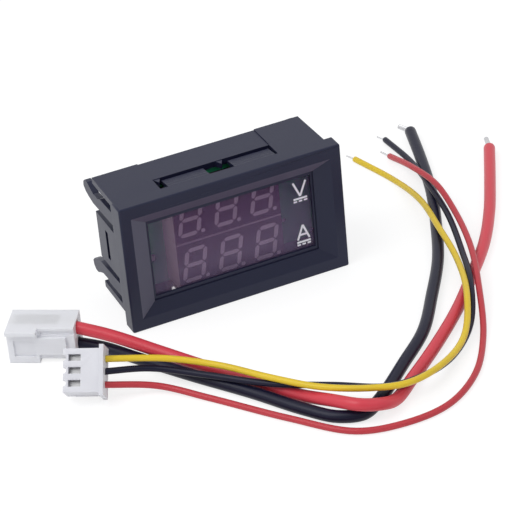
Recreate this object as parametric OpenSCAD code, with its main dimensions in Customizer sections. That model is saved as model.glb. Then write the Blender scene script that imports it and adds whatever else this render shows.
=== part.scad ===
// Panel meter with two rows of digits, for a rectangular panel cut-out, with its two loose wire sets.
// +Z is up, the front faces -Y, and the bezel's lower edge stands on z = 0.

/* [Bezel] */
// Width of the bezel
bezel_w = 48; // [46:0.5:56]
// Height of the bezel
bezel_h = 28.5; // [28:0.5:34]
// Thickness of the bezel flange
bezel_t = 3.5; // [3:0.1:5]
// Radius of the bezel's corners
bezel_r = 0.4; // [0.3:0.1:1.5]
// Flat border left and right of the sloped frame
border_x = 2.3; // [1.5:0.1:3]
// Flat border above and below the sloped frame
border_z = 2.7; // [1.5:0.1:3]
// Width of the sloped frame left and right
slope_x = 3.5; // [2:0.1:4]
// Width of the sloped frame above and below
slope_z = 2.4; // [1.5:0.1:3]
// Depth of the sloped frame
slope_d = 1.5; // [0.8:0.1:1.7]
// Width of the sunk rim left and right of the window
rim_x = 0.5; // [0.3:0.1:1]
// Width of the sunk rim above and below the window
rim_z = 0.8; // [0.4:0.1:1.2]
// Step from the slope down to the rim
rim_step = 0.3; // [0.1:0.05:0.4]
// Thickness of the lip that holds the window
lip_t = 0.5; // [0.4:0.05:0.6]

/* [Shell] */
// Width of the shell behind the bezel
shell_w = 46.2; // [44:0.1:46.5]
// Height of the shell
shell_h = 25.6; // [24:0.1:26]
// Height of the shell's underside above the bezel's lower edge
shell_z = 1.6; // [1:0.1:2]
// Depth from the bezel's front to the shell's rear edge
shell_d = 17.3; // [16:0.1:19]
// How much each side narrows towards the rear
shell_draft = 0.3; // [0:0.1:0.8]
// Wall thickness
wall = 1.3; // [1:0.1:1.6]
// Depth from the bezel's front to the tips of the spring arms
total_d = 22; // [21:0.1:24]
// Depth at which the side slots and spring arms begin
arm_d = 7.3; // [6:0.1:9]
// Height of the outer slots beside the spring arms
slot_out = 1.6; // [1:0.1:2]
// Height of the inner slot under the upper spring arm
slot_in_high = 1.8; // [1:0.1:2]
// Height of the inner slot over the lower spring arm
slot_in_low = 1.3; // [1:0.1:2]
// Length along the depth of the narrow slot in each side
board_slot_l = 1.4; // [1:0.1:1.6]
// Height of a spring arm
arm_h = 3; // [2:0.1:4]
// Swell at the tip of a spring arm
arm_swell = 0.8; // [0:0.1:1.2]
// Width of the moulding opening in the top and bottom walls
port_w = 25.6; // [20:0.1:28]
// Length of that opening along the depth
port_l = 4.6; // [3:0.1:5]
// Depth at which that opening begins
port_d = 5.1; // [4:0.1:6]
// Width of each board stop tongue in that opening
tongue_w = 9; // [6:0.1:9.5]
// Drop of a tongue towards its free end
tongue_drop = 0.5; // [0.2:0.05:0.8]
// Depth of the sunk panel behind the opening
panel_sink = 0.2; // [0.1:0.05:0.4]

/* [Display] */
// Thickness of the window
window_t = 1.5; // [1:0.1:2]
// How far the window reaches under its lip
window_lap = 1.8; // [1:0.1:2]
// Width of a digit module
module_w = 23.2; // [22:0.1:25]
// Height of a digit module
module_h = 10.35; // [10:0.05:11]
// Thickness of a digit module
module_t = 6.3; // [5:0.1:7]
// Height of the joint between the two modules above the shell's middle
module_rise = -0.1; // [-0.2:0.05:0.2]
// Distance between digits
digit_pitch = 7.9; // [7.4:0.1:8]
// Distance between the two upright segment lines of a digit
digit_w = 4; // [3:0.1:4.2]
// Distance from the middle segment to the top segment
digit_half = 3.4; // [2.5:0.05:3.5]
// Width of a segment
seg_w = 0.9; // [0.5:0.05:1]
// Depth of a segment's insert
seg_t = 0.6; // [0.3:0.1:1]
// Slant of the digits in degrees
slant = 10; // [0:1:12]
// Gap between neighbouring segments
seg_gap = 0.14; // [0.05:0.01:0.3]
// Distance of the unit marks from the window's right edge
mark_in = 2.3; // [2:0.1:3]
// Distance of the upper mark's middle from the window's upper edge
mark_down = 2.8; // [2.4:0.1:3.2]
// Distance of the lower mark's middle from the window's lower edge
mark_up = 3.8; // [3.6:0.1:4.5]
// Height of a unit letter
letter_h = 3.3; // [2.5:0.1:3.5]
// Width of a unit letter
letter_w = 2.8; // [2:0.1:3]
// Stroke of the unit marks
stroke_w = 0.42; // [0.2:0.02:0.6]

/* [Board] */
// Thickness of the board
board_t = 1.6; // [1:0.1:2]
// Gap around the board
board_gap = 0.2; // [0.1:0.05:0.4]
// Diameter of a display pin
pin_d = 0.5; // [0.4:0.05:0.6]
// Gap between a pin and its hole
hole_gap = 0.15; // [0.05:0.05:0.3]
// Height of the pins behind the board
pin_rise = 1.1; // [0.6:0.1:1.5]
// Length of the small header's shroud
small_head_l = 7; // [6:0.1:9]
// Height of the large header's base
large_head_l = 3.3; // [2.5:0.1:5]
// Diameter of the current shunt wire
shunt_d = 1.3; // [0.8:0.1:1.6]
// Half the distance between the shunt's legs
shunt_r = 3.5; // [3:0.1:4]
// Side of a trimmer's base
trim_w = 3.8; // [3.4:0.1:4.2]
// Height of a trimmer's base
trim_h = 1.2; // [1:0.1:1.6]
// Diameter of a trimmer's rotor
rotor_d = 3; // [2.6:0.1:3.2]
// Thickness of a trimmer's rotor
rotor_t = 0.9; // [0.7:0.1:1.2]
// Diameter of a rotor's pin
rotor_pin_d = 1.2; // [0.8:0.1:1.4]
// Running clearance of a rotor's pin, on the radius
run_gap = 0.04; // [0.02:0.01:0.08]

/* [Wires] */
// Diameter of the load wires
thick_d = 2.5; // [2:0.1:2.6]
// Diameter of the supply and sense wires
thin_d = 1.3; // [1:0.1:1.4]
// Diameter of a load wire's tinned end
thick_tip_d = 1.1; // [0.8:0.1:1.4]
// Diameter of a thin wire's tinned end
thin_tip_d = 0.4; // [0.3:0.05:0.6]
// Pitch of the large plug and header
large_pitch = 3.96; // [3.96:0.01:4]
// Pitch of the small plug and header
small_pitch = 2.5; // [2.5:0.01:2.54]

/* [Hidden] */
$fn = 48;
eps = 0.01;
front_y = -total_d / 2;
shell_top = shell_z + shell_h;
shell_mid = shell_z + shell_h / 2;
half_w = shell_w / 2;
// How far the side wall stands in at a given depth
function inset(d) = shell_draft * (d - bezel_t) / (shell_d - bezel_t);

// Window opening and what follows it in depth
open_x = bezel_w / 2 - border_x - slope_x - rim_x;
open_z0 = border_z + slope_z + rim_z;
open_z1 = bezel_h - open_z0;
window_d = slope_d + rim_step + lip_t;
module_d = window_d + window_t + 0.1;
board_d = module_d + module_t;
back_d = board_d + board_t;
window_gap = 0.1;
module_z = shell_mid + module_rise;

// Spring arms, from the top wall's strip downwards and from the bottom one upwards
arm_hi = shell_top - wall - slot_out;
arm_lo = shell_z + wall + 0.15 + slot_out;

// Board outline
board_x = half_w - inset(back_d) - wall - board_gap;
board_z0 = shell_z + wall + board_gap;
board_z1 = shell_top - wall - board_gap;

// Places on the board's rear, as x and z
small_head = [12.2, module_z - 5.7];
large_head = [-12.6, module_z - 5.1];
volt_trim = [8.6, module_z + 6.3];
amp_trim = [14.8, module_z + 6.3];
chip_at = [-0.4, module_z - 5.2];
regulator_at = [16.6, module_z + 0.9];
diode_at = [9.6, module_z + 0.9];
shunt_at = [-9.2, module_z + 5.3];
resistor_at = [-3.6, module_z + 3.3];
capacitor_at = [-3.6, module_z + 6.1];
row_pitch = 3.1;

// Large plug: place of its front lower corner at the mating end, and its turn
large_plug_at = [-49.7, -8.4, 0];
large_plug_turn = -32.5;
large_plug_size = [13.5, 8.5, 7.8];
collar_l = 6.2;
// How far the collar's front and the rest of the front stand back from the lip, and the lip's thickness
collar_front = 1.2;
body_front = 1.7;
body_low = 0.8;
plug_lip_t = 0.8;
// Small plug: place of its rear lower corner at the mating end, and its turn and lean
small_plug_at = [-44, -25.7, 0.9];
small_plug_turn = [46, 0, -30];
small_plug_size = [7, 8.5, 4.9];
flange_l = 0.85;
flange_u = 0.7;
flange_n = 0.4;

// Routes of the wires' centre lines, from the plug to the free end
red_load_route = [
    [-36.6, -10.7, 6.2], [-30.5, -16, 4.8], [-23.5, -23.2, 2.7], [-18, -30, 1.5], [-12, -39.5, 1.4],
    [-6.5, -49.5, 1.8], [-2.5, -57.5, 3.6], [1, -62.5, 4.3], [5, -63, 3.3], [9, -61, 1.7],
    [15, -56, 1.3], [24.5, -48, 1.3], [34, -39, 1.3], [42.5, -29.5, 1.3], [50.5, -20, 1.3],
    [57.5, -9.5, 1.3], [64, 2, 1.3], [70.5, 14, 1.3]
];
black_load_route = [
    [-36.6, -10.7, 2.4], [-31.5, -14.5, 1.4], [-27.5, -21, 1.3], [-20.7, -32.2, 1.3], [-13.2, -43.7, 1.3],
    [-7, -54.2, 1.3], [-2.7, -59.7, 1.3], [2, -61.5, 1.3], [7, -58.5, 1.3], [16, -50.5, 1.3],
    [24.5, -42.5, 1.3], [32, -32, 1.3], [39.5, -20.5, 1.3], [45.5, -8.5, 1.3], [51, 4, 1.3],
    [55.5, 17, 1.3], [59.5, 30, 1.3]
];
yellow_route = [
    [-36.4, -26.7, 7.5], [-25, -31, 6], [-16.5, -37, 4.8], [-10, -46.5, 5.1], [-3.5, -54.5, 5.3],
    [4, -59.5, 5.2], [11, -61.5, 4.9], [20, -58, 3.6], [29.5, -50, 2.4], [36.5, -38.5, 3.8],
    [41.5, -25, 3.2], [44, -12.5, 3.4], [46.5, 0.5, 2.6], [47, 14, 0.7], [44, 26.5, 0.7]
];
black_sense_route = [
    [-37.3, -28.2, 5.7], [-28, -30, 4.2], [-19, -37, 3.4], [-10, -46.5, 3.7], [0, -54, 4.1],
    [8.5, -59, 3.7], [16.5, -58.4, 3], [26, -52.5, 1], [34, -44.5, 1.2], [39.5, -34.5, 3.4],
    [44, -22.5, 2.9], [48.5, -8, 2.8], [50.5, 4, 3.3], [53, 17.5, 1.7], [53.5, 30.5, 0.7]
];
red_sense_route = [
    [-38.2, -29.7, 3.9], [-28, -32.5, 1.6], [-20.5, -40.5, 0.7], [-10.5, -54.5, 0.7], [-1.5, -65, 0.7],
    [7.5, -67.5, 0.7], [17, -66.5, 0.7], [26, -60.5, 0.7], [34, -49.5, 0.8], [40.5, -36, 3],
    [46, -22.5, 3.5], [49.5, -9, 4], [50.5, 0.5, 5.1], [50.5, 11.5, 3.9], [51, 23.4, 0.7]
];

// Ends of the tinned tips
red_load_end = [71.7, 17.6, 1.3];
black_load_end = [58.3, 32.9, 1.3];
yellow_end = [43.2, 28.6, 0.7];
black_sense_end = [52.6, 32.4, 0.7];
red_sense_end = [50.2, 26, 0.7];

// ---- shapes used by several pieces ----

// A flat shape in x and z, carried from depth d0 to depth d1 behind the bezel's front
module slab(d0, d1) {
    translate([0, front_y + d1, 0]) rotate([90, 0, 0]) linear_extrude(height = d1 - d0) children();
}
// A flat shape in depth and z, carried along x from x0 to x1
module across(x0, x1) {
    translate([x0, front_y, 0]) rotate([90, 0, 90]) linear_extrude(height = x1 - x0) children();
}
// A block given by its x, depth and z spans
module block(x, d, z) {
    translate([x[0], front_y + d[0], z[0]]) cube([x[1] - x[0], d[1] - d[0], z[1] - z[0]]);
}
// A round bar along the depth
module bar(x, z, d0, d1, dia) {
    translate([x, front_y + d1, z]) rotate([90, 0, 0]) cylinder(d = dia, h = d1 - d0);
}
module rounded_rect(w, h, r) {
    square([w - 2 * r, h], center = true);
    square([w, h - 2 * r], center = true);
    for (x = [-1, 1], y = [-1, 1]) translate([x * (w / 2 - r), y * (h / 2 - r)]) circle(r = r);
}
// A straight stroke between two points of a flat shape
module stroke(p, q, w) {
    n = (q - p) / norm(q - p) * w / 2;
    polygon([p + [-n[1], n[0]], q + [-n[1], n[0]], q + [n[1], -n[0]], p + [n[1], -n[0]]]);
}

// A tube of diameter dia swept along a list of points, eight sided
function unit(v) = v / norm(v);
function heading(p, i) = unit(p[min(i + 1, len(p) - 1)] - p[max(i - 1, 0)]);
function ring(p, i, r) =
    let (t = heading(p, i), s = unit(cross(t, [0, 0, 1])), u = cross(s, t))
    [for (k = [0:7]) p[i] + r * (cos(45 * k + 22.5) * s + sin(45 * k + 22.5) * u)];
module tube(p, dia) {
    n = len(p);
    points = [for (i = [0:n - 1]) each ring(p, i, dia / 2)];
    sides = [for (i = [0:n - 2], k = [0:7]) let (a = i * 8 + k, b = i * 8 + (k + 1) % 8)
        each [[a, b, b + 8], [a, b + 8, a + 8]]];
    caps = [[for (k = [7:-1:0]) k], [for (k = [0:7]) (n - 1) * 8 + k]];
    polyhedron(points, concat(sides, caps));
}
// The tinned end of a wire: a round bar from the end of its route to the point b
module tip(route, b, dia) {
    a = route[len(route) - 1];
    v = b - a;
    translate(a) rotate([0, acos(v[2] / norm(v)), atan2(v[1], v[0])]) cylinder(d = dia, h = norm(v), $fn = 24);
}

// ---- case: bezel, shell, spring arms and board stops in one moulding ----

module bezel_outline() translate([0, bezel_h / 2]) rounded_rect(bezel_w, bezel_h, bezel_r);
module frame_rect(x, z0, z1) translate([-x, z0]) square([2 * x, z1 - z0]);

// The four sloped faces: a hull between the outer and the inner rectangle
module slope_cut() {
    x = bezel_w / 2 - border_x;
    hull() {
        slab(-eps, 0) frame_rect(x, border_z, bezel_h - border_z);
        slab(slope_d, slope_d + eps)
            frame_rect(x - slope_x, border_z + slope_z, bezel_h - border_z - slope_z);
    }
}
module shell_plan(grow, d0, d1) {
    polygon([
        [-half_w + inset(d0) - grow, front_y + d0], [half_w - inset(d0) + grow, front_y + d0],
        [half_w - inset(d1) + grow, front_y + d1], [-half_w + inset(d1) - grow, front_y + d1]
    ]);
}
// Side view of one arm, from its inner edge at 0 towards its outer edge at arm_h
module arm_side() {
    e = total_d;
    polygon([
        [arm_d - 1, 0], [e - 4.6, 0], [e - 2.4, 0.55], [e - 0.8, 1.2], [e, 2],
        [e - 0.2, arm_h + 0.1], [e - 1.1, arm_h + arm_swell], [e - 2.3, arm_h + arm_swell],
        [e - 3.7, arm_h + 0.1], [e - 5.2, arm_h - 0.5], [e - 7.6, arm_h - 0.5],
        [e - 8.8, arm_h], [arm_d - 1, arm_h]
    ]);
}
module arms_side() {
    translate([0, arm_hi - arm_h]) arm_side();
    translate([0, arm_lo + arm_h]) mirror([0, 1]) arm_side();
}
module side_slots() {
    l = shell_d - arm_d + 1;
    for (z = [[arm_lo - slot_out, arm_lo], [arm_lo + arm_h, arm_lo + arm_h + slot_in_low],
              [arm_hi - arm_h - slot_in_high, arm_hi - arm_h], [arm_hi, arm_hi + slot_out]])
        translate([arm_d, z[0]]) square([l, z[1] - z[0]]);
    // the arms are drawn apart, so their bands are cleared as well
    for (z = [arm_lo, arm_hi - arm_h]) translate([arm_d, z]) square([l, arm_h]);
}
// One arm plate: it leaves the drafted wall and stays parallel to the other side
module arm_plates() {
    x = half_w - inset(arm_d);
    for (m = [0, 1]) mirror([m, 0, 0]) intersection() {
        across(x - wall - 1, x + 1) arms_side();
        linear_extrude(height = bezel_h) polygon([
            [x - wall, front_y + arm_d - 1], [x, front_y + arm_d - 1], [x + 0.1, front_y + total_d + 1],
            [x + 0.1 - wall, front_y + total_d + 1]
        ]);
    }
}
// Opening in the top wall with its two tongues; the bottom wall has the same
module port_cut() {
    block([-port_w / 2, port_w / 2], [port_d, port_d + port_l], [shell_top - wall - 1, shell_top + 1]);
}
module tongue(x0) {
    l = port_l - 0.35;
    steps = 4;
    across(x0, x0 + tongue_w) translate([port_d, shell_top - wall]) polygon(concat(
        [[-0.3, 0], [-0.3, wall]],
        [for (i = [0:steps - 1]) each [
            [l * i / steps, wall - tongue_drop * i / steps],
            [l * (i + 0.7) / steps, wall - tongue_drop * (i + 0.15) / steps]]],
        [[l, wall - tongue_drop], [l, wall - tongue_drop - 0.7], [0, 0]]
    ));
}
module gap_rib(x) {
    translate([x, front_y + port_d + port_l, shell_top - wall]) linear_extrude(height = wall - 0.1)
        polygon([[-0.8, 0.1], [0.8, 0.1], [0, -1.5]]);
}
module top_port() {
    tongue(-port_w / 2 + 1.7);
    tongue(port_w / 2 - 0.5 - tongue_w);
    gap_rib(-port_w / 2 + 0.85);
    gap_rib(1.6);
}
module flip_down() translate([0, 0, 2 * shell_mid]) mirror([0, 0, 1]) children();

module case() color([0.075, 0.078, 0.09]) difference() {
    union() {
        difference() {
            union() {
                slab(0, bezel_t) bezel_outline();
                translate([0, 0, shell_z]) linear_extrude(height = shell_h) shell_plan(0, bezel_t - 1, shell_d);
            }
            // interior, open to the rear
            translate([0, 0, shell_z + wall]) linear_extrude(height = shell_h - 2 * wall)
                shell_plan(-wall, bezel_t, shell_d + 1);
            // side slots
            for (s = [-1, 1]) across(s * half_w - 3, s * half_w + 3) side_slots();
            port_cut();
            flip_down() port_cut();
            // sunk panels behind the openings
            for (z = [shell_top - panel_sink, shell_z - 1])
                block([-port_w / 2 - 0.1, port_w / 2 + 0.1], [port_d + port_l + 0.2, shell_d + 1],
                    [z, z + 1 + (z < shell_mid ? panel_sink : 0)]);
            // narrow board slot in each side wall
            for (s = [-1, 1]) block([s * half_w - 2.5, s * half_w + 2.5], [back_d - 0.4, back_d - 0.4 + board_slot_l],
                [shell_mid - 3.6, shell_mid + 3]);
        }
        arm_plates();
        top_port();
        flip_down() top_port();
        // corner posts that the board rests on, and the catches behind it
        for (s = [-1, 1], z = [board_z0, board_z1 - 1.6])
            block([s * (board_x - 0.4) - 0.7, s * (board_x - 0.4) + 0.7], [bezel_t - eps, board_d],
                [z, z + 1.6]);
        for (s = [-1, 1], z = [shell_mid - 4.6, shell_mid + 3.6])
            translate([s * (board_x + 0.35), 0, 0]) block([-0.65, 0.65], [back_d + 0.05, back_d + 1.2], [z, z + 1.2]);
    }
    slope_cut();
    slab(slope_d - eps, slope_d + rim_step)
        frame_rect(open_x + rim_x, open_z0 - rim_z, open_z1 + rim_z);
    slab(0, bezel_t) frame_rect(open_x, open_z0, open_z1);
    // pocket for the window
    slab(window_d, bezel_t + 1) frame_rect(open_x + window_lap + window_gap,
        open_z0 - window_lap - window_gap, open_z1 + window_lap + window_gap);
}

// ---- window and its printed unit marks ----

module window() color([0.1, 0.09, 0.1, 0.5]) slab(window_d, window_d + window_t)
    frame_rect(open_x + window_lap, open_z0 - window_lap, open_z1 + window_lap);

print_t = 0.05;
line_drop = 2.2;
dash_drop = 2.8;
// The direct current sign under a unit letter: a line over three dashes
module direct_sign() {
    w = 3;
    stroke([-w / 2, -line_drop], [w / 2, -line_drop], stroke_w);
    for (x = [-1, 0, 1]) stroke([x * w * 0.38 - 0.38, -dash_drop], [x * w * 0.38 + 0.38, -dash_drop], stroke_w * 0.85);
}
module mark(z) color([0.93, 0.93, 0.95]) slab(window_d - print_t, window_d) translate([open_x - mark_in, z]) {
    children();
    direct_sign();
}
volt_z = open_z1 - mark_down;
amp_z = open_z0 + mark_up;
module volt_mark() mark(volt_z) {
    stroke([-letter_w / 2, letter_h / 2], [0, -letter_h / 2], stroke_w);
    stroke([letter_w / 2, letter_h / 2], [0, -letter_h / 2], stroke_w);
}
module amp_mark() mark(amp_z) {
    stroke([-letter_w / 2 + 0.1, -letter_h / 2], [0, letter_h / 2], stroke_w);
    stroke([letter_w / 2 - 0.1, -letter_h / 2], [0, letter_h / 2], stroke_w);
    stroke([-letter_w / 4, -letter_h / 6], [letter_w / 4, -letter_h / 6], stroke_w);
}

// ---- digit modules ----

function lean(p) = [p[0] + p[1] * tan(slant), p[1]];
module lying(x0, x1, z) {
    t = seg_w / 2;
    a = x0 + seg_gap;
    b = x1 - seg_gap;
    polygon([for (p = [[a, z], [a + t, z + t], [b - t, z + t], [b, z], [b - t, z - t], [a + t, z - t]]) lean(p)]);
}
module upright(x, z0, z1) {
    t = seg_w / 2;
    a = z0 + seg_gap;
    b = z1 - seg_gap;
    polygon([for (p = [[x, a], [x + t, a + t], [x + t, b - t], [x, b], [x - t, b - t], [x - t, a + t]]) lean(p)]);
}
module digit() {
    h = digit_w / 2;
    for (z = [-digit_half, 0, digit_half]) lying(-h, h, z);
    for (x = [-h, h], z = [-digit_half, 0]) upright(x, z, z + digit_half);
    translate([h + 0.45, -digit_half]) circle(d = seg_w, $fn = 24);
}
module digits(z) for (i = [-1:1]) translate([i * digit_pitch, z]) digit();
upper_z = module_z + module_h / 2 + 0.05;
lower_z = module_z - module_h / 2 - 0.05;

module display(z) color([0.3, 0.17, 0.2]) difference() {
    slab(module_d, board_d) translate([0, z]) square([module_w, module_h], center = true);
    slab(module_d - eps, module_d + seg_t) digits(z);
}
module segments(z) color([0.5, 0.36, 0.4]) slab(module_d, module_d + seg_t) digits(z);
module upper_display() display(upper_z);
module lower_display() display(lower_z);
module upper_segments() segments(upper_z);
module lower_segments() segments(lower_z);

// Six pins along each long edge of a module, soldered through the board
pin_pitch = 2.54;
function pin_places(z) = [for (i = [-2.5:2.5], s = [-1, 1]) [i * pin_pitch, z + s * (module_h / 2 - 1.2)]];
module display_pins(z) color([0.75, 0.75, 0.77])
    for (p = pin_places(z)) bar(p[0], p[1], board_d, back_d + pin_rise, pin_d);
module upper_display_pins() display_pins(upper_z);
module lower_display_pins() display_pins(lower_z);

// ---- board ----

function small_pins() = [for (i = [-1:1]) small_head + [i * small_pitch, 0]];
function large_pins() = [for (i = [-0.5, 0.5]) large_head + [i * large_pitch, 0]];
small_pin_w = 0.64;
large_pin_w = 1.14;
function shunt_legs() = [for (s = [-1, 1]) shunt_at + [s * shunt_r, 0]];

module board() color([0.1, 0.42, 0.24]) difference() {
    slab(board_d, back_d) translate([-board_x, board_z0]) square([2 * board_x, board_z1 - board_z0]);
    for (p = concat(pin_places(upper_z), pin_places(lower_z)))
        bar(p[0], p[1], board_d - 1, back_d + 1, pin_d + 2 * hole_gap);
    for (p = small_pins()) bar(p[0], p[1], board_d - 1, back_d + 1, small_pin_w * 1.5 + hole_gap);
    for (p = large_pins()) bar(p[0], p[1], board_d - 1, back_d + 1, large_pin_w * 1.5 + hole_gap);
    for (p = shunt_legs()) bar(p[0], p[1], board_d - 1, back_d + 1, shunt_d + 2 * hole_gap);
}

// ---- small parts on the board's rear ----

// A block that stands on the board's rear: centre in x and z, size in x and z, height
module on_board(at, size, h, lift = 0)
    block([at[0] - size[0] / 2, at[0] + size[0] / 2], [back_d + lift, back_d + lift + h],
        [at[1] - size[1] / 2, at[1] + size[1] / 2]);

chip_size = [6.5, 4.4];
chip_h = 1;
chip_lift = 0.1;
lead_count = 10;
lead_pitch = 0.65;
module controller_chip() color([0.09, 0.09, 0.1]) difference() {
    on_board(chip_at, chip_size, chip_h, chip_lift);
    bar(chip_at[0] - chip_size[0] / 2 + 0.8, chip_at[1] - chip_size[1] / 2 + 0.8,
        back_d + chip_lift + chip_h - 0.1, back_d + chip_lift + chip_h + 1, 0.7);
}
module controller_leads() color([0.78, 0.78, 0.8])
    for (i = [0:lead_count - 1], s = [0, 1])
        translate([chip_at[0] + (i - (lead_count - 1) / 2) * lead_pitch - 0.11, 0, 0])
            across(0, 0.22) translate([back_d, chip_at[1]]) mirror([0, s]) translate([0, chip_size[1] / 2])
                polygon([[0, 1], [0.12, 1], [0.12, 0.55], [0.62, 0.4], [0.62, 0], [0.5, 0], [0.5, 0.3], [0, 0.45]]);

regulator_size = [4.5, 2.5];
module regulator() color([0.09, 0.09, 0.1]) on_board(regulator_at, regulator_size, 1.5, 0.2);
module regulator_leads() color([0.78, 0.78, 0.8]) {
    on_board(regulator_at + [0, 1.85], [1.7, 1.2], 0.4);
    for (i = [-1:1]) on_board(regulator_at + [i * 1.5, -1.75], [0.45, 1], 0.4);
}
diode_size = [4.2, 2.6];
module diode() color([0.1, 0.1, 0.11]) on_board(diode_at, diode_size, 1.9, 0.2);
module diode_ends() color([0.78, 0.78, 0.8])
    for (s = [-1, 1]) on_board(diode_at + [s * (diode_size[0] / 2 + 0.25), 0], [0.5, 1.5], 1.1);

// Chip resistors and capacitors in two short rows
resistor_size = [2, 1.25];
module resistors() color([0.12, 0.12, 0.13])
    for (i = [0:3]) on_board(resistor_at + [i * row_pitch, 0], resistor_size, 0.5);
module capacitors() color([0.62, 0.5, 0.38])
    for (i = [0:2]) on_board(capacitor_at + [i * row_pitch, 0], resistor_size, 0.9);

// Current shunt: a bent bar whose two legs pass through the board
shunt_rise = 1.4;
module shunt() color([0.7, 0.55, 0.45]) {
    for (p = shunt_legs()) bar(p[0], p[1], back_d - board_t, back_d + shunt_rise, shunt_d);
    translate([shunt_at[0], front_y + back_d + shunt_rise, shunt_at[1]])
        rotate_extrude(angle = 180) translate([shunt_r, 0]) circle(d = shunt_d);
}

// Trimmers: a square base with a bored seat, and a slotted rotor that turns in it
module trimmer_base(at) color([0.88, 0.87, 0.82]) difference() {
    on_board(at, [trim_w, trim_w], trim_h);
    bar(at[0], at[1], back_d + 0.2, back_d + trim_h + 1, rotor_pin_d + 2 * run_gap);
}
rotor_gap = 0.05;
module trimmer_rotor(at) color([0.8, 0.72, 0.5]) difference() {
    union() {
        bar(at[0], at[1], back_d + 0.3, back_d + trim_h + rotor_gap + eps, rotor_pin_d);
        bar(at[0], at[1], back_d + trim_h + rotor_gap, back_d + trim_h + rotor_gap + rotor_t, rotor_d);
    }
    for (t = [[2.2, 0.5], [0.5, 2.2]])
        on_board(at, t, 1, trim_h + rotor_gap + rotor_t - 0.45);
}
module volt_trimmer_base() trimmer_base(volt_trim);
module volt_trimmer_rotor() trimmer_rotor(volt_trim);
module amp_trimmer_base() trimmer_base(amp_trim);
module amp_trimmer_rotor() trimmer_rotor(amp_trim);

// ---- headers ----

small_head_end = 2.45;
small_head_size = [2 * (small_pitch + small_head_end), 5.75];
small_head_wall = 0.75;
key_slot = [1.2, 2];
small_head_floor = 2.4;
module small_header() color([0.93, 0.92, 0.88]) difference() {
    on_board(small_head, small_head_size, small_head_l);
    on_board(small_head, small_head_size - [2, 2] * small_head_wall, small_head_l, small_head_floor);
    for (s = [-1, 1]) on_board(small_head + [s * small_pitch, -small_head_size[1] / 2], key_slot, small_head_l,
        small_head_floor);
    for (p = small_pins()) on_board(p, [small_pin_w, small_pin_w], small_head_l, -1);
}
module small_header_pins() color([0.8, 0.8, 0.82])
    for (p = small_pins()) on_board(p, [small_pin_w, small_pin_w], board_t + small_head_l - 0.8, -board_t);

large_head_end = 2.35;
large_head_size = [large_pitch + 2 * large_head_end, 8];
lock_t = 1.6;
large_pin_l = total_d - back_d - 0.3;
module large_header() color([0.93, 0.92, 0.88]) difference() {
    union() {
        on_board(large_head, large_head_size, large_head_l);
        on_board(large_head + [0, (large_head_size[1] - lock_t) / 2], [large_head_size[0], lock_t], large_pin_l - 1);
        on_board(large_head + [0, large_head_size[1] / 2 - lock_t - 0.25], [3, 0.6], 1, large_pin_l - 2.4);
    }
    for (p = large_pins()) on_board(p, [large_pin_w, large_pin_w], large_pin_l + 1, -1);
}
module large_header_pins() color([0.8, 0.8, 0.82])
    for (p = large_pins()) on_board(p, [large_pin_w, large_pin_w], board_t + large_pin_l, -board_t);

// ---- plugs on the loose wire sets ----

module place_large_plug() translate(large_plug_at) rotate([0, 0, large_plug_turn]) children();
module place_small_plug() translate(small_plug_at) rotate(small_plug_turn) children();

// Cell centres across the large plug, the two contacts standing one over the other
large_cells = [for (i = [-0.5, 0.5])
    [(large_plug_size[1] + body_front) / 2, (large_plug_size[2] + body_low) / 2 + i * large_pitch * 0.95]];
large_cell = [3.2, 3];
module large_plug() color([0.9, 0.91, 0.92]) place_large_plug() difference() {
    l = large_plug_size[0];
    w = large_plug_size[1];
    h = large_plug_size[2];
    union() {
        translate([0, collar_front, 0]) cube([collar_l, w - collar_front, h]);
        translate([0, 0, h - plug_lip_t]) cube([collar_l, w / 2, plug_lip_t]);
        translate([0, body_front, body_low]) cube([l, w - body_front, h - body_low]);
        // latch bar along the front
        translate([collar_l - eps, body_front - 0.6, 2]) cube([5.6, 1, 3.9]);
    }
    for (c = large_cells) {
        translate([-1, c[0] - large_cell[0] / 2, c[1] - large_cell[1] / 2]) cube([11, large_cell[0], large_cell[1]]);
        translate([9, c[0], c[1]]) rotate([0, 90, 0]) cylinder(d = thick_d + 0.1, h = 10);
    }
    // sunk panel in the collar's front, and a groove along the body's upper front
    translate([1.2, collar_front - 1, 1.5]) cube([4.4, 1.4, 3.7]);
    translate([collar_l + 0.5, body_front - 1, h - 1.5]) cube([l, 1.3, 0.9]);
}
// A contact: a folded sheet channel, open towards the outer side, with its pin entry at the mating end
module channel(l, w, h, t) difference() {
    translate([0, -w / 2, -h / 2]) cube([l, w, h]);
    translate([-1, -w / 2 + t, -h / 2 + t]) cube([l + 2, w - 2 * t, h - 2 * t]);
}
module large_plug_contacts() color([0.78, 0.78, 0.8]) place_large_plug()
    for (c = large_cells) translate([1.2, c[0], c[1]]) channel(7.4, large_cell[0] - 0.2, large_cell[1] - 0.2, 0.35);

small_cells = [for (i = [-1:1]) small_plug_size[1] / 2 + i * small_pitch];
small_cell = [1.9, 2.4];
module small_plug() color([0.93, 0.93, 0.94]) place_small_plug() difference() {
    union() {
        cube(small_plug_size);
        translate([small_plug_size[0] - eps, -flange_u, -flange_n])
            cube([flange_l + eps, small_plug_size[1] + 2 * flange_u, small_plug_size[2] + 2 * flange_n]);
        // guide ribs along the rear edges
        for (y = [0, small_plug_size[1] - 1]) translate([1.6, y, -flange_n]) cube([small_plug_size[0] - 1.6, 1, 1]);
    }
    for (y = small_cells) {
        translate([-1, y - small_cell[0] / 2, small_plug_size[2] / 2 - small_cell[1] / 2])
            cube([7.6, small_cell[0], small_cell[1]]);
        translate([6, y, small_plug_size[2] / 2]) rotate([0, 90, 0]) cylinder(d = thin_d + 0.1, h = 10);
        // window over each contact
        translate([1, y - 0.65, small_plug_size[2] / 2]) cube([2.4, 1.3, 5]);
        // shallow scallops between the mating ends
        translate([0, y, -1]) cylinder(d = 1.2, h = small_plug_size[2] + 2);
    }
}
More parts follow.
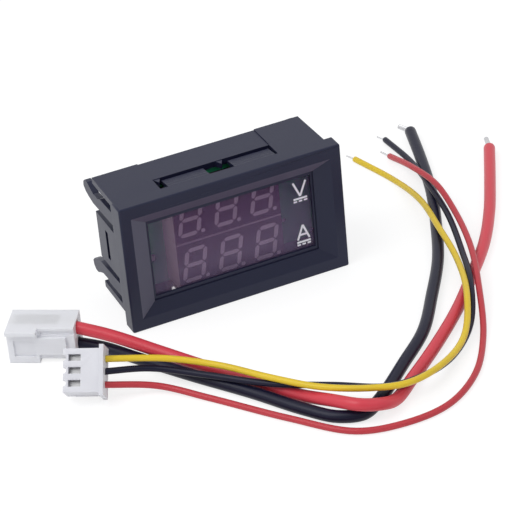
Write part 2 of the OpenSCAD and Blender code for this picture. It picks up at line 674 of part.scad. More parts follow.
module small_plug_contacts() color([0.78, 0.78, 0.8]) place_small_plug()
    for (y = small_cells) translate([0.5, y, small_plug_size[2] / 2])
        channel(5.6, small_cell[0] - 0.2, small_cell[1] - 0.2, 0.25);

// ---- wires, bare at their free ends ----

module red_load_wire() color([0.78, 0.16, 0.2]) tube(red_load_route, thick_d);
module black_load_wire() color([0.09, 0.09, 0.11]) tube(black_load_route, thick_d);
module yellow_wire() color([0.88, 0.76, 0.16]) tube(yellow_route, thin_d);
module black_sense_wire() color([0.09, 0.09, 0.11]) tube(black_sense_route, thin_d);
module red_sense_wire() color([0.78, 0.2, 0.24]) tube(red_sense_route, thin_d);
module load_wire_tips() color([0.8, 0.8, 0.82]) {
    tip(red_load_route, red_load_end, thick_tip_d);
    tip(black_load_route, black_load_end, thick_tip_d);
}
module thin_wire_tips() color([0.8, 0.8, 0.82]) {
    tip(yellow_route, yellow_end, thin_tip_d);
    tip(black_sense_route, black_sense_end, thin_tip_d);
    tip(red_sense_route, red_sense_end, thin_tip_d);
}

case();
window();
volt_mark();
amp_mark();
upper_display();
lower_display();
upper_segments();
lower_segments();
upper_display_pins();
lower_display_pins();
board();
controller_chip();
controller_leads();
regulator();
regulator_leads();
diode();
diode_ends();
resistors();
capacitors();
shunt();
volt_trimmer_base();
volt_trimmer_rotor();
amp_trimmer_base();
amp_trimmer_rotor();
small_header();
small_header_pins();
large_header();
large_header_pins();
large_plug();
large_plug_contacts();
small_plug();
small_plug_contacts();
red_load_wire();
black_load_wire();
yellow_wire();
black_sense_wire();
red_sense_wire();
load_wire_tips();
thin_wire_tips();
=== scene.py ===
import math
import bmesh
import bpy
import numpy as np
from mathutils import Matrix, Vector


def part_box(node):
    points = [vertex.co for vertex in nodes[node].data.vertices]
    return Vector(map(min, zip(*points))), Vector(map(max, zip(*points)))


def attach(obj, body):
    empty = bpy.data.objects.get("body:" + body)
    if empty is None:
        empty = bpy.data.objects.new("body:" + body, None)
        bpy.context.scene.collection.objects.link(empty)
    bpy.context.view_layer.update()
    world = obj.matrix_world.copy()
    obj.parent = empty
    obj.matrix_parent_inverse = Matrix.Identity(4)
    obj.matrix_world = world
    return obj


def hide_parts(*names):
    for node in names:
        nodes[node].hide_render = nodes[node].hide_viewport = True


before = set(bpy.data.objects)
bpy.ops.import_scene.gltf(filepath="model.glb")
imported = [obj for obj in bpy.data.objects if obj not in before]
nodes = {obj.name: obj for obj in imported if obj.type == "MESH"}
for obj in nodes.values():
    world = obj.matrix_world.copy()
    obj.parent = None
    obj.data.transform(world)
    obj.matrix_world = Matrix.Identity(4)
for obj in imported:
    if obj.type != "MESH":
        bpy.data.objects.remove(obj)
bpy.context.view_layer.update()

mm = 0.001


def box(name):
    # a node's lowest and highest corners in millimetres
    low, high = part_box(name)
    return np.array(low) / mm, np.array(high) / mm


# the meter stands a little tilted on the table, so the camera carries that tilt as a roll
view = dict(place=(-175.4, -455.0, 301.85), azimuth=-21.97, elevation=31.45, roll=-5.6, lens=196.9)


def makeCamera(v):
    # forward comes from azimuth and elevation, right and up are turned about it by the roll
    az, el, ro = (math.radians(v[k]) for k in ("azimuth", "elevation", "roll"))
    forward = Vector((-math.sin(az) * math.cos(el), math.cos(az) * math.cos(el), -math.sin(el)))
    flatRight = forward.cross(Vector((0, 0, 1))).normalized()
    flatUp = flatRight.cross(forward)
    right = math.cos(ro) * flatRight + math.sin(ro) * flatUp
    up = right.cross(forward)
    data = bpy.data.cameras.new("camera")
    data.lens, data.sensor_width, data.clip_end = v["lens"], 36, 20
    cam = bpy.data.objects.new("camera", data)
    turn = Matrix((right, up, -forward)).transposed()
    cam.matrix_world = Matrix.Translation(Vector(v["place"]) * mm) @ turn.to_4x4()
    bpy.context.collection.objects.link(cam)
    bpy.context.scene.camera = cam


makeCamera(view)
print("camera placed")


# shader helpers

def newMaterial(name):
    m = bpy.data.materials.new(name)
    m.use_nodes = True
    m.node_tree.nodes.clear()
    return m, m.node_tree, m.node_tree.nodes.new("ShaderNodeOutputMaterial")


def add(tree, kind, **settings):
    # a node with its settings: what it has as a property is set there, the rest are its sockets
    n = tree.nodes.new("ShaderNode" + kind)
    for k, v in settings.items():
        if hasattr(n, k):
            setattr(n, k, v)
        else:
            n.inputs[k.replace("_", " ")].default_value = v
    return n


def makeGroup(name, ins, outs):
    g = bpy.data.node_groups.new(name, "ShaderNodeTree")
    for label, kind, value in ins:
        s = g.interface.new_socket(name=label, in_out="INPUT", socket_type="NodeSocket" + kind)
        s.default_value = value
    for label, kind in outs:
        g.interface.new_socket(name=label, in_out="OUTPUT", socket_type="NodeSocket" + kind)
    return g, g.nodes.new("NodeGroupInput"), g.nodes.new("NodeGroupOutput")


def pair(tree, operation, a, b):
    # a math node on two values, each a socket or a number
    n = add(tree, "Math", operation=operation)
    for k, v in enumerate((a, b)):
        if isinstance(v, (int, float)):
            n.inputs[k].default_value = v
        else:
            tree.links.new(v, n.inputs[k])
    return n.outputs[0]


def between(tree, source, low, high):
    # 1 where the value lies between low and high, else 0
    above = pair(tree, "GREATER_THAN", source, low)
    below = pair(tree, "LESS_THAN", source, high)
    return pair(tree, "MULTIPLY", above, below)


def ramp(tree, source, low, high):
    # 0 at low to 1 at high, held beyond both
    n = add(tree, "MapRange", From_Min=low, From_Max=high)
    tree.links.new(source, n.inputs["Value"])
    return n.outputs["Result"]


def place(tree):
    # the object coordinates as three values
    co = add(tree, "TexCoord")
    xyz = add(tree, "SeparateXYZ")
    tree.links.new(co.outputs["Object"], xyz.inputs[0])
    return xyz.outputs


def blend(tree, amount, a, b):
    # a where the amount is 0, b where it is 1, each a socket or a colour
    n = add(tree, "MixRGB")
    tree.links.new(amount, n.inputs["Fac"])
    for k, v in (("Color1", a), ("Color2", b)):
        if isinstance(v, tuple):
            n.inputs[k].default_value = (*v, 1)
        else:
            tree.links.new(v, n.inputs[k])
    return n.outputs[0]


skinLook = dict(cloudScale=120.0, cloudRange=(0.6, 1.4), roughRange=(-0.06, 0.06), speckEdge=(0.12, 0.05),
                speckRare=0.93, speckColor=(0.5, 0.52, 0.58))


def skinGroup(look):
    # moulded surface: a slow cloud in colour and roughness, a fine grain in height, sparse pale specks
    g, i, o = makeGroup("mouldedSkin",
        [("Color", "Color", (0.1, 0.1, 0.1, 1)), ("Cloud", "Float", 0.1), ("Grain Scale", "Float", 2500.0),
         ("Speck Scale", "Float", 900.0), ("Speck", "Float", 0.0), ("Roughness", "Float", 0.4)],
        [("Color", "Color"), ("Roughness", "Float"), ("Height", "Float")])
    co = add(g, "TexCoord")
    cloud = add(g, "TexNoise", Scale=look["cloudScale"], Detail=3.0)
    grain = add(g, "TexNoise", Detail=2.0)
    speck = add(g, "TexVoronoi")
    for n in (cloud, grain, speck):
        g.links.new(co.outputs["Object"], n.inputs["Vector"])
    g.links.new(i.outputs["Grain Scale"], grain.inputs["Scale"])
    g.links.new(i.outputs["Speck Scale"], speck.inputs["Scale"])
    shade = add(g, "MapRange", To_Min=look["cloudRange"][0], To_Max=look["cloudRange"][1])
    g.links.new(cloud.outputs["Fac"], shade.inputs["Value"])
    dim = add(g, "MixRGB", blend_type="MULTIPLY")
    g.links.new(i.outputs["Cloud"], dim.inputs["Fac"])
    g.links.new(i.outputs["Color"], dim.inputs["Color1"])
    g.links.new(shade.outputs["Result"], dim.inputs["Color2"])
    near = ramp(g, speck.outputs["Distance"], *look["speckEdge"])
    rare = pair(g, "GREATER_THAN", speck.outputs["Color"], look["speckRare"])
    amount = pair(g, "MULTIPLY", pair(g, "MULTIPLY", near, rare), i.outputs["Speck"])
    g.links.new(blend(g, amount, dim.outputs[0], look["speckColor"]), o.inputs["Color"])
    vary = add(g, "MapRange", To_Min=look["roughRange"][0], To_Max=look["roughRange"][1])
    g.links.new(cloud.outputs["Fac"], vary.inputs["Value"])
    g.links.new(pair(g, "ADD", i.outputs["Roughness"], vary.outputs["Result"]), o.inputs["Roughness"])
    g.links.new(grain.outputs["Fac"], o.inputs["Height"])
    return g


skin = skinGroup(skinLook)


def plastic(name, color, roughness=0.4, cloud=0.12, grain=2500.0, bump=0.03, speck=0.0, speckScale=900.0,
            coat=0.0, glow=0.0, spec=0.5, tint=(1, 1, 1), alpha=1.0, colorFrom=None):
    # colorFrom makes the colour inside the material's own tree and hands back its socket
    m, t, out = newMaterial(name)
    s = t.nodes.new("ShaderNodeGroup")
    s.node_tree = skin
    for k, v in (("Color", (*color, 1)), ("Cloud", cloud), ("Grain Scale", grain), ("Speck", speck),
                 ("Speck Scale", speckScale), ("Roughness", roughness)):
        s.inputs[k].default_value = v
    if colorFrom:
        t.links.new(colorFrom(t), s.inputs["Color"])
    p = add(t, "BsdfPrincipled")
    if bump:
        b = add(t, "Bump", Strength=1.0, Distance=bump * mm)
        t.links.new(s.outputs["Height"], b.inputs["Height"])
        t.links.new(b.outputs["Normal"], p.inputs["Normal"])
    t.links.new(s.outputs["Color"], p.inputs["Base Color"])
    t.links.new(s.outputs["Roughness"], p.inputs["Roughness"])
    for k, v in (("Coat Weight", coat), ("Coat Roughness", 0.1), ("Specular IOR Level", spec),
                 ("Specular Tint", (*tint, 1)), ("Subsurface Weight", glow), ("Subsurface Scale", 0.0012),
                 ("Subsurface Radius", (0.7, 0.7, 0.7)), ("Alpha", alpha)):
        p.inputs[k].default_value = v
    t.links.new(p.outputs[0], out.inputs[0])
    return m


def metal(name, color, roughness=0.3, bump=0.01):
    m, t, out = newMaterial(name)
    co = add(t, "TexCoord")
    n = add(t, "TexNoise", Scale=1500.0, Detail=3.0)
    t.links.new(co.outputs["Object"], n.inputs["Vector"])
    r = add(t, "MapRange", To_Min=roughness - 0.1, To_Max=roughness + 0.15)
    t.links.new(n.outputs["Fac"], r.inputs["Value"])
    c = add(t, "MixRGB", blend_type="MULTIPLY", Fac=0.25, Color1=(*color, 1))
    t.links.new(n.outputs["Fac"], c.inputs["Color2"])
    b = add(t, "Bump", Strength=1.0, Distance=bump * mm)
    t.links.new(n.outputs["Fac"], b.inputs["Height"])
    p = add(t, "BsdfPrincipled", Metallic=1.0)
    t.links.new(c.outputs[0], p.inputs["Base Color"])
    t.links.new(r.outputs["Result"], p.inputs["Roughness"])
    t.links.new(b.outputs["Normal"], p.inputs["Normal"])
    t.links.new(p.outputs[0], out.inputs[0])
    return m


def dress(name, material):
    o = nodes[name]
    o.data.materials.clear()
    o.data.materials.append(material)


# mesh helpers

def sweep(path, profile, up=(0, 0, 1.0)):
    # row i, corner j: path[i] + profile[i, j, 0] * side[i] + profile[i, j, 1] * over[i],
    # side square to the path and to up, over square to the path and side
    t = np.gradient(path, axis=0)
    t /= np.linalg.norm(t, axis=1)[:, None]
    side = np.cross(t, up)
    side /= np.linalg.norm(side, axis=1)[:, None]
    over = np.cross(side, t)
    return path[:, None] + profile[..., :1] * side[:, None] + profile[..., 1:] * over[:, None]


def circle(around):
    a = np.linspace(0, 2 * np.pi, around, endpoint=False)
    return np.stack([np.cos(a), np.sin(a)], -1)


def gridMesh(name, grids, material, replaces=None, smooth=True):
    # each grid is rows of closed rings: neighbouring rows join in quads, and both ends are capped
    points, faces, base = [], [], 0
    for g in grids:
        n, m = g.shape[:2]
        i, j = np.meshgrid(np.arange(n - 1), np.arange(m), indexing="ij")
        k = (j + 1) % m
        quads = np.stack([i * m + j, (i + 1) * m + j, (i + 1) * m + k, i * m + k], -1).reshape(-1, 4)
        faces += (quads + base).tolist()
        faces += [(base + np.arange(m)).tolist(), (base + n * m - 1 - np.arange(m)).tolist()]
        points.append(g.reshape(-1, 3))
        base += n * m
    mesh = bpy.data.meshes.new(name)
    mesh.from_pydata((np.vstack(points) * mm).tolist(), [], faces)
    mesh.polygons.foreach_set("use_smooth", np.full(len(mesh.polygons), smooth))
    mesh.materials.append(material)
    mesh.update()
    o = bpy.data.objects.new(name, mesh)
    bpy.context.collection.objects.link(o)
    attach(o, "meter")
    if replaces:
        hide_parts(replaces)
    return o


edgeLook = dict(angle=35, segments=3, frontSegments=4, mergeWithin=1e-6, flatWithin=0.5)


def addBevel(o, width, segments, limit, clamp=True):
    v = o.modifiers.new("edge", "BEVEL")
    v.width, v.segments, v.limit_method = width * mm, segments, limit
    v.angle_limit = math.radians(edgeLook["angle"])
    v.use_clamp_overlap = clamp


def mergedCopy(name, newName, material, edge, isFront=None, frontEdge=0.0):
    # a copy of a node's mesh with its doubles merged, its flat faces joined and its edges rounded;
    # the edges that isFront picks are rounded more, before the others
    m = nodes[name].data.copy()
    o = bpy.data.objects.new(newName, m)
    bpy.context.collection.objects.link(o)
    b = bmesh.new()
    b.from_mesh(m)
    bmesh.ops.remove_doubles(b, verts=b.verts, dist=edgeLook["mergeWithin"])
    flat = math.radians(edgeLook["flatWithin"])
    bmesh.ops.dissolve_limit(b, angle_limit=flat, verts=b.verts, edges=b.edges)
    if isFront:
        weight = b.edges.layers.float.new("bevel_weight_edge")
        for e in b.edges:
            e[weight] = float(all(isFront(np.array(v.co) / mm) for v in e.verts))
    b.to_mesh(m)
    b.free()
    m.materials.clear()
    m.materials.append(material)
    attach(o, "meter")
    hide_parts(name)
    if isFront:
        addBevel(o, frontEdge, edgeLook["frontSegments"], "WEIGHT", clamp=False)
    addBevel(o, edge, edgeLook["segments"], "ANGLE")
    return o


tin = metal("tinned", (0.72, 0.72, 0.74), 0.32)
contactTin = metal("contactTin", (0.42, 0.42, 0.43), 0.36)
clearNylon = plastic("clearNylon", (0.79, 0.795, 0.83), 0.38, 0.06, bump=0.015, glow=0.45, spec=0.35)
nylon = plastic("plugNylon", (0.69, 0.69, 0.735), 0.38, 0.06, bump=0.015, glow=0.25, spec=0.35)
largePlug = mergedCopy("large_plug", "largePlugBody", clearNylon, 0.26)
smallPlug = mergedCopy("small_plug", "smallPlugBody", nylon, 0.14)
for n in ("large_plug_contacts", "small_plug_contacts"):
    dress(n, contactTin)
print("plugs rounded")


# the five wires: points of the centre lines in millimetres, the same as the solids follow

blackVinyl = (0.007, 0.0075, 0.026)
wireFacts = dict(
    red_load_wire=dict(color=(0.66, 0.05, 0.075), diameter=2.5, end=(71.7, 17.6, 1.3), points=[
        (-36.6, -10.7, 6.2), (-30.5, -16, 4.8), (-23.5, -23.2, 2.7), (-18, -30, 1.5), (-12, -39.5, 1.4),
        (-6.5, -49.5, 1.8), (-2.5, -57.5, 3.6), (1, -62.5, 4.3), (5, -63, 3.3), (9, -61, 1.7),
        (15, -56, 1.3), (24.5, -48, 1.3), (34, -39, 1.3), (42.5, -29.5, 1.3), (50.5, -20, 1.3),
        (57.5, -9.5, 1.3), (64, 2, 1.3), (70.5, 14, 1.3)]),
    black_load_wire=dict(color=blackVinyl, spec=0.25, diameter=2.5, end=(58.3, 32.9, 1.3), points=[
        (-36.6, -10.7, 2.4), (-31.5, -14.5, 1.4), (-27.5, -21, 1.3), (-20.7, -32.2, 1.3), (-13.2, -43.7, 1.3),
        (-7, -54.2, 1.3), (-2.7, -59.7, 1.3), (2, -61.5, 1.3), (7, -58.5, 1.3), (16, -50.5, 1.3),
        (24.5, -42.5, 1.3), (32, -32, 1.3), (39.5, -20.5, 1.3), (45.5, -8.5, 1.3), (51, 4, 1.3),
        (55.5, 17, 1.3), (59.5, 30, 1.3)]),
    yellow_wire=dict(color=(0.76, 0.54, 0.025), diameter=1.3, end=(43.2, 28.6, 0.7), points=[
        (-36.4, -26.7, 7.5), (-25, -31, 6), (-16.5, -37, 4.8), (-10, -46.5, 5.1), (-3.5, -54.5, 5.3),
        (4, -59.5, 5.2), (11, -61.5, 4.9), (20, -58, 3.6), (29.5, -50, 2.4), (36.5, -38.5, 3.8),
        (41.5, -25, 3.2), (44, -12.5, 3.4), (46.5, 0.5, 2.6), (47, 14, 0.7), (44, 26.5, 0.7)]),
    black_sense_wire=dict(color=blackVinyl, spec=0.25, diameter=1.3, end=(52.6, 32.4, 0.7), points=[
        (-37.3, -28.2, 5.7), (-28, -30, 4.2), (-19, -37, 3.4), (-10, -46.5, 3.7), (0, -54, 4.1),
        (8.5, -59, 3.7), (16.5, -58.4, 3), (26, -52.5, 1), (34, -44.5, 1.2), (39.5, -34.5, 3.4),
        (44, -22.5, 2.9), (48.5, -8, 2.8), (50.5, 4, 3.3), (53, 17.5, 1.7), (53.5, 30.5, 0.7)]),
    red_sense_wire=dict(color=(0.52, 0.045, 0.06), spec=0.3, diameter=1.3, end=(50.2, 26, 0.7), points=[
        (-38.2, -29.7, 3.9), (-28, -32.5, 1.6), (-20.5, -40.5, 0.7), (-10.5, -54.5, 0.7), (-1.5, -65, 0.7),
        (7.5, -67.5, 0.7), (17, -66.5, 0.7), (26, -60.5, 0.7), (34, -49.5, 0.8), (40.5, -36, 3),
        (46, -22.5, 3.5), (49.5, -9, 4), (50.5, 0.5, 5.1), (50.5, 11.5, 3.9), (51, 23.4, 0.7)]),
)
tubeLook = dict(around=20, perStretch=9, endRound=0.3)
# into is how far a tip starts inside its vinyl, fat makes up for the solder that joins the strands
tipLook = dict(thick=dict(diameter=1.1, strands=9, lay=7.0), thin=dict(diameter=0.4, strands=5, lay=3.0),
               into=0.8, fat=1.25, rows=28)


def smoothPath(points, per):
    # centripetal Catmull-Rom through the points: each stretch blends its two ends and their neighbours
    p = np.array(points, float)
    p = np.vstack([2 * p[0] - p[1], p, 2 * p[-1] - p[-2]])
    out = []
    for k in range(1, len(p) - 2):
        a, b, c, d = p[k - 1:k + 3]
        t0, t1 = 0.0, np.linalg.norm(b - a) ** 0.5
        t2 = t1 + np.linalg.norm(c - b) ** 0.5
        t3 = t2 + np.linalg.norm(d - c) ** 0.5
        t = np.linspace(t1, t2, per, endpoint=False)[:, None]
        ab = (t1 - t) / (t1 - t0) * a + (t - t0) / (t1 - t0) * b
        bc = (t2 - t) / (t2 - t1) * b + (t - t1) / (t2 - t1) * c
        cd = (t3 - t) / (t3 - t2) * c + (t - t2) / (t3 - t2) * d
        abc = (t2 - t) / (t2 - t0) * ab + (t - t0) / (t2 - t0) * bc
        bcd = (t3 - t) / (t3 - t1) * bc + (t - t1) / (t3 - t1) * cd
        out.append((t2 - t) / (t2 - t1) * abc + (t - t1) / (t2 - t1) * bcd)
    return np.vstack(out + [p[-2:-1]])


def strands(start, end, look):
    # strand k is a thin tube whose middle runs round the tip's line at angle 2 pi (k / count + s / lay)
    start, end = np.array(start, float), np.array(end, float)
    along = (end - start) / np.linalg.norm(end - start)
    start = start - along * tipLook["into"]
    length = np.linalg.norm(end - start)
    s = np.linspace(0, length, tipLook["rows"])
    side = np.cross(along, [0, 0, 1.0])
    side /= np.linalg.norm(side)
    over = np.cross(side, along)
    share = math.sin(math.pi / look["strands"])
    r = look["diameter"] / 2 * share / (1 + share) * tipLook["fat"]
    out = look["diameter"] / 2 - r
    grids = []
    for k in range(look["strands"]):
        a = 2 * np.pi * (k / look["strands"] + s / look["lay"])
        middle = start + s[:, None] * along + out * (np.cos(a)[:, None] * side + np.sin(a)[:, None] * over)
        grids.append(sweep(middle, r * circle(8)[None]))
    core = start + s[:, None] * along
    grids.append(sweep(core, np.full((len(s), 1, 1), out) * circle(10)[None]))
    return grids


def tips(names, look, newName, replaces):
    grids = []
    for n in names:
        grids += strands(wireFacts[n]["points"][-1], wireFacts[n]["end"], look)
    return gridMesh(newName, grids, tin, replaces=replaces)


thickTips = tips(["red_load_wire", "black_load_wire"], tipLook["thick"], "thickStrands", "load_wire_tips")
thinTips = tips(["yellow_wire", "black_sense_wire", "red_sense_wire"], tipLook["thin"], "thinStrands",
                "thin_wire_tips")


def wire(name, f, look):
    # both ends are rounded over a few short rows: row k stands back by e (1 - cos k), with radius
    # r - e + e sin k
    path = smoothPath(f["points"], look["perStretch"])
    r = f["diameter"] / 2
    e = look["endRound"] * r
    k = np.array([0.0, 0.3, 0.7, 1.0]) * np.pi / 2
    t0 = (path[1] - path[0]) / np.linalg.norm(path[1] - path[0])
    t1 = (path[-1] - path[-2]) / np.linalg.norm(path[-1] - path[-2])
    head = path[0] + e * (1 - np.cos(k))[:, None] * t0
    tail = path[-1] - e * (1 - np.cos(k[::-1]))[:, None] * t1
    toEnds = np.linalg.norm(path[None] - path[[0, -1], None], axis=2).min(0)
    inner = toEnds > e * 1.5
    endR = r - e + e * np.sin(k)
    line = np.vstack([head, path[inner], tail])
    radius = np.concatenate([endR, np.full(inner.sum(), r), endR[::-1]])
    material = plastic(name + "Vinyl", f["color"], 0.36, 0.2, 1400.0, 0.015, spec=f.get("spec", 0.4))
    tube = sweep(line, radius[:, None, None] * circle(look["around"])[None])
    o = gridMesh(name.replace("_wire", "_vinyl"), [tube], material,
                 replaces=name)


for name, facts in wireFacts.items():
    wire(name, facts, tubeLook)
print("five wires swept")


# case, window and digits

caseLook = dict(color=(0.0125, 0.0135, 0.038), left=(0.078, 0.074, 0.115), top=(0.07, 0.056, 0.1),
                edge=0.1, frontEdge=0.35, rimReach=0.5, borderX=2.3, borderZ=2.7, slopeX=3.5, slopeZ=2.4,
                slopeDepth=1.5, spare=0.03)
caseLow, caseHigh = box("case")


def caseColor(t):
    # the slopes at the left and the top are paler, in place of light that they catch: each point of the
    # sloped frame belongs to the side whose share of the slope's width it is nearest to
    c = caseLook
    at = place(t)

    def share(axis, start, width):
        n = add(t, "MapRange", clamp=False, From_Min=start * mm, From_Max=(start + width) * mm)
        t.links.new(at[axis], n.inputs["Value"])
        return n.outputs["Result"]

    left = share("X", caseLow[0] + c["borderX"], c["slopeX"])
    right = share("X", caseHigh[0] - c["borderX"], -c["slopeX"])
    top = share("Z", caseHigh[2] - c["borderZ"], -c["slopeZ"])
    low = share("Z", caseLow[2] + c["borderZ"], c["slopeZ"])
    start = caseLow[1] + c["spare"]
    sunk = between(t, at["Y"], start * mm, (start + c["slopeDepth"]) * mm)

    def isSide(a, b, d):
        # the side with share a lies nearer than the two beside it, and the point is on a slope
        nearest = pair(t, "LESS_THAN", a, pair(t, "MINIMUM", b, d))
        return pair(t, "MULTIPLY", sunk, pair(t, "MULTIPLY", nearest, between(t, a, 0.0, 1.05)))

    paler = blend(t, isSide(left, top, low), c["color"], c["left"])
    return blend(t, isSide(top, left, right), paler, c["top"])


casePlastic = plastic("casePlastic", caseLook["color"], 0.38, 0.15, 3500.0, 0.02, 0.35, 1100.0,
                      spec=0.34, tint=(0.84, 0.9, 1.0), colorFrom=caseColor)


def onFrontRim(p):
    # on the front plane, at the bezel's outline
    away = min(p[0] - caseLow[0], caseHigh[0] - p[0], p[2] - caseLow[2], caseHigh[2] - p[2])
    return p[1] < caseLow[1] + 0.01 and away < caseLook["rimReach"]


mergedCopy("case", "caseShell", casePlastic, caseLook["edge"], isFront=onFrontRim,
           frontEdge=caseLook["frontEdge"])

# low is the paler colour of the painted reflection at the window's bottom, high the colour at its top
windowLook = dict(high=(0.155, 0.08, 0.22), low=(0.27, 0.2, 0.37), reflectionZ=(9.0, 19.0),
                  band=(0.36, 0.25, 0.38), bandRise=(-15.6, -12.8), bandEnd=(-11.9, -12.3))


def windowColor(t):
    # a painted reflection that makes the window paler downwards, and a mauve band beside the display where
    # its side shows through
    w = windowLook
    at = place(t)

    def along(axis, ends):
        return ramp(t, at[axis], ends[0] * mm, ends[1] * mm)

    # painted reflection: the window's colour grows paler downwards
    paintedReflection = blend(t, along("Z", w["reflectionZ"]), w["low"], w["high"])
    band = pair(t, "MULTIPLY", along("X", w["bandRise"]), along("X", w["bandEnd"]))
    return blend(t, band, paintedReflection, w["band"])


smoke = plastic("smokedWindow", windowLook["high"], 0.12, 0.1, bump=0, alpha=0.25, spec=0.35,
                tint=(1.0, 0.88, 1.0), speck=0.5, speckScale=700.0, colorFrom=windowColor)
dress("window", smoke)
ink = plastic("whiteInk", (0.8, 0.81, 0.86), 0.5, 0.05)
for n in ("volt_mark", "amp_mark"):
    dress(n, ink)

# joint is a painted highlight along the line where the two modules meet
digitLook = dict(face=(0.035, 0.008, 0.02), side=(0.8, 0.58, 0.74), dark=(0.03, 0.025, 0.03),
                 joint=(0.45, 0.33, 0.4), jointHalf=0.17)


def digitColor(t):
    # dark filter on the front face with a painted highlight line where the two modules meet, a pale left
    # side, and a dark body elsewhere
    d = digitLook
    low, high = box("upper_display")
    faceY, leftX = low[1], low[0]
    jointZ = (low[2] + box("lower_display")[1][2]) / 2
    at = place(t)
    front = between(t, at["Y"], (faceY - 1) * mm, (faceY + 0.02) * mm)
    # painted highlight: a paler strip along the meeting line of the two modules
    line = between(t, at["Z"], (jointZ - d["jointHalf"]) * mm, (jointZ + d["jointHalf"]) * mm)
    leftSide = between(t, at["X"], (leftX - 1) * mm, (leftX + 0.05) * mm)
    return blend(t, front, blend(t, leftSide, d["dark"], d["side"]), blend(t, line, d["face"], d["joint"]))


digitBody = plastic("digitBody", digitLook["face"], 0.5, 0.1, bump=0, spec=0.2, colorFrom=digitColor)
for n in ("upper_display", "lower_display"):
    dress(n, digitBody)
paleSegment = plastic("paleSegment", (0.42, 0.32, 0.39), 0.5, 0.1, bump=0, spec=0.2)
for n in ("upper_segments", "lower_segments"):
    dress(n, paleSegment)
print("case and window dressed")


# board and what stands on it

for n in ("upper_display_pins", "lower_display_pins", "controller_leads", "regulator_leads", "diode_ends",
          "small_header_pins", "large_header_pins"):
    dress(n, tin)
dress("board", plastic("solderMask", (0.022, 0.36, 0.16), 0.3, 0.3, 1800.0, 0.02, coat=0.3))
dress("shunt", metal("shuntAlloy", (0.6, 0.42, 0.3), 0.4))
rotorBrass = metal("rotorBrass", (0.75, 0.6, 0.3), 0.35)
for n in ("volt_trimmer_rotor", "amp_trimmer_rotor"):
    dress(n, rotorBrass)

epoxy = plastic("epoxy", (0.018, 0.018, 0.02), 0.5, 0.2, 1800.0, 0.03)
chipGlaze = plastic("chipGlaze", (0.025, 0.025, 0.028), 0.3, 0.2)
ceramic = plastic("ceramic", (0.4, 0.27, 0.16), 0.4, 0.2)
cream = plastic("cream", (0.72, 0.7, 0.62), 0.4, 0.15)
headerNylon = plastic("headerNylon", (0.78, 0.76, 0.68), 0.4, 0.08, bump=0.015, glow=0.2)
hardPieces = dict(
    controller_chip=("chipBody", epoxy, "chip_black", 0.08),
    regulator=("regulatorBody", epoxy, "chip_black", 0.12),
    diode=("diodeBody", epoxy, "chip_black", 0.15),
    resistors=("resistorBodies", chipGlaze, "chip_black", 0.04),
    capacitors=("capacitorBodies", ceramic, "ceramic_tan", 0.08),
    volt_trimmer_base=("voltTrimmerSeat", cream, "trimmer_cream", 0.1),
    amp_trimmer_base=("ampTrimmerSeat", cream, "trimmer_cream", 0.1),
    small_header=("smallHeaderShroud", headerNylon, "nylon_white", 0.12),
    large_header=("largeHeaderBase", headerNylon, "nylon_white", 0.15))
for n, (newName, material, slot, edge) in hardPieces.items():
    mergedCopy(n, newName, material, edge)

solderLook = dict(foot=0.85, neck=0.32, rise=0.75, shuntFoot=1.35, shuntNeck=0.7, shuntRise=0.9)
pinPitch = 2.54
pinInset = 1.2   # from a module's long edge to its row of pins
rearY = box("board")[1][1]


def cones(centres, foot, neck, rise):
    # a solder fillet round each pin: radius neck + (foot - neck) (1 - s)^2.5 at height rise s
    s = np.linspace(0, 1, 8)
    radius = neck + (foot - neck) * (1 - s) ** 2.5
    grids = []
    for x, z in centres:
        line = np.stack([np.full(8, x), rearY - 0.02 + rise * s, np.full(8, z)], -1)
        grids.append(sweep(line, radius[:, None, None] * circle(20)[None]))
    return grids


def pinCentres():
    out = []
    for n in ("upper_display", "lower_display"):
        low, high = box(n)
        for z in (low[2] + pinInset, high[2] - pinInset):
            out += [(i * pinPitch, z) for i in np.arange(-2.5, 3)]
    return out


# copper under the mask: broken lines on the board's rear, as x and z, with a width
trackLook = dict(rise=0.035, color=(0.05, 0.46, 0.22))
tracks = [
    (0.5, [(-20.5, 5), (-20.5, 23.5), (-18, 25.2)]),
    (1.6, [(-18.5, 6), (-18.5, 12), (-15, 15.5)]),
    (0.35, [(-4.5, 12.8), (-6, 14.3), (-9, 14.3)]),
    (0.35, [(3.7, 12.8), (5.4, 14.5), (8.6, 14.5), (8.6, 18)]),
    (0.35, [(3.7, 12), (6.4, 14.2), (14.8, 14.2), (14.8, 18)]),
    (0.5, [(20.6, 4.6), (20.6, 24.6)]),
    (0.35, [(-2.5, 6.9), (-2.5, 4.6), (8, 4.6)]),
    (0.35, [(-1, 6.9), (-1, 5.3), (7.5, 5.3)]),
    (0.9, [(18.8, 5), (18.8, 13.2)]),
    (0.5, [(-6.5, 21.8), (-2, 24.4), (4.5, 24.4)]),
    (0.5, [(17, 24.6), (4.5, 24.6), (4.5, 21.5)]),
    (1.2, [(-16.5, 18), (-16.5, 21), (-13.5, 24.2), (-8, 24.2)])]


def track(width, corners):
    # a flat box section carried along the line: half the width to each side, its top at the rise
    line = np.array([(x, rearY - 0.01, z) for x, z in corners], float)
    h, top = width / 2, trackLook["rise"] + 0.01
    section = np.array([[h, 0], [h, top], [-h, top], [-h, 0]])
    return sweep(line, section[None], up=(0, 1.0, 0))


copperMask = plastic("copperUnderMask", trackLook["color"], 0.28, 0.2, 1800.0, 0.01, coat=0.3)
gridMesh("boardTracks", [track(w, c) for w, c in tracks], copperMask, smooth=False)

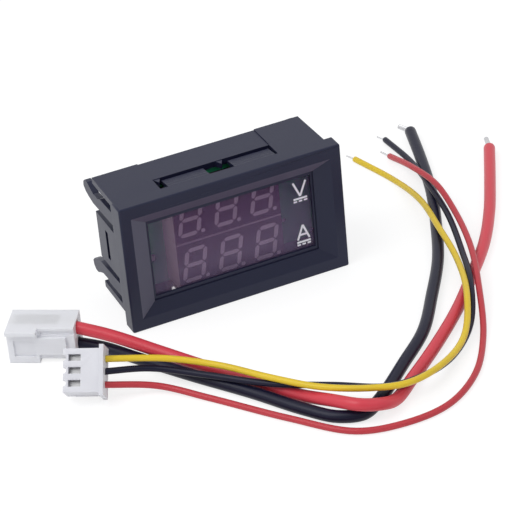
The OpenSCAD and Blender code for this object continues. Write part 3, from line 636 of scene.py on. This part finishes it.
shuntLow, shuntHigh = box("shunt")
legX = np.array([shuntLow[0] + 0.65, shuntHigh[0] - 0.65])
joints = cones(pinCentres(), solderLook["foot"], solderLook["neck"], solderLook["rise"])
joints += cones([(x, shuntLow[2] + 0.65) for x in legX], solderLook["shuntFoot"], solderLook["shuntNeck"],
                solderLook["shuntRise"])
gridMesh("solderJoints", joints, metal("solder", (0.7, 0.7, 0.72), 0.26, 0.02))
print("board dressed")


# floor, backdrop and lamps

stageLook = dict(half=3.0, bounce=0.9, glow=0.76, shade=0.32, worldLit=0.6, roomFront=0.35,
                 frontFade=(-0.85, -0.1))


def whiteRays(tree):
    # 1 for camera, glossy and transmission rays
    ray = add(tree, "LightPath").outputs
    either = pair(tree, "MAXIMUM", ray["Is Camera Ray"], ray["Is Glossy Ray"])
    return pair(tree, "MAXIMUM", either, ray["Is Transmission Ray"])


def makeFloor(look):
    h = look["half"]
    mesh = bpy.data.meshes.new("floor")
    mesh.from_pydata([(-h, -h, 0), (h, -h, 0), (h, h, 0), (-h, h, 0)], [], [(0, 1, 2, 3)])
    o = bpy.data.objects.new("floor", mesh)
    bpy.context.collection.objects.link(o)
    m, t, out = newMaterial("floorPaper")
    # the seen floor is mostly its own white, so the object's shadow stays faint
    real = add(t, "BsdfDiffuse", Color=(look["bounce"],) * 3 + (1,))
    thin = add(t, "BsdfDiffuse", Color=(look["shade"],) * 3 + (1,))
    white = add(t, "Emission", Color=(1, 1, 1, 1), Strength=look["glow"])
    sumUp = add(t, "AddShader")
    mix = add(t, "MixShader")
    t.links.new(thin.outputs[0], sumUp.inputs[0])
    t.links.new(white.outputs[0], sumUp.inputs[1])
    t.links.new(whiteRays(t), mix.inputs[0])
    t.links.new(real.outputs[0], mix.inputs[1])
    t.links.new(sumUp.outputs[0], mix.inputs[2])
    t.links.new(mix.outputs[0], out.inputs[0])
    mesh.materials.append(m)


def makeWorld(look):
    world = bpy.data.worlds.new("studio")
    world.use_nodes = True
    bpy.context.scene.world = world
    t = world.node_tree
    t.nodes.clear()
    out = t.nodes.new("ShaderNodeOutputWorld")
    lit = add(t, "Background", Color=(0.97, 0.98, 1, 1), Strength=look["worldLit"])
    seen = add(t, "Background", Color=(1, 1, 1, 1))
    # the room is white, and darker on the side that the front faces
    path = add(t, "LightPath")
    co = add(t, "TexCoord")
    xyz = add(t, "SeparateXYZ")
    fade = look["frontFade"]
    front = add(t, "MapRange", From_Min=fade[0], From_Max=fade[1], To_Min=look["roomFront"], To_Max=1.0)
    t.links.new(co.outputs["Generated"], xyz.inputs[0])
    t.links.new(xyz.outputs["Y"], front.inputs["Value"])
    level = pair(t, "MAXIMUM", front.outputs["Result"], path.outputs["Is Camera Ray"])
    t.links.new(level, seen.inputs["Strength"])
    mix = add(t, "MixShader")
    t.links.new(whiteRays(t), mix.inputs[0])
    t.links.new(lit.outputs[0], mix.inputs[1])
    t.links.new(seen.outputs[0], mix.inputs[2])
    t.links.new(mix.outputs[0], out.inputs[0])


lamps = dict(
    key=dict(place=(-0.6, -0.1, 0.85), size=0.7, power=4.5),
    fill=dict(place=(0.5, -0.7, 0.9), size=0.9, power=1.5))


def lamp(name, l, aim=(0, -0.02, 0.01)):
    data = bpy.data.lights.new(name, "AREA")
    data.size, data.energy = l["size"], l["power"]
    o = bpy.data.objects.new(name, data)
    o.location = l["place"]
    o.rotation_euler = (Vector(aim) - Vector(l["place"])).to_track_quat("-Z", "Y").to_euler()
    bpy.context.collection.objects.link(o)


makeFloor(stageLook)
makeWorld(stageLook)
for name, l in lamps.items():
    lamp(name, l)
bpy.context.scene.view_settings.view_transform = "Standard"
print("stage lit")
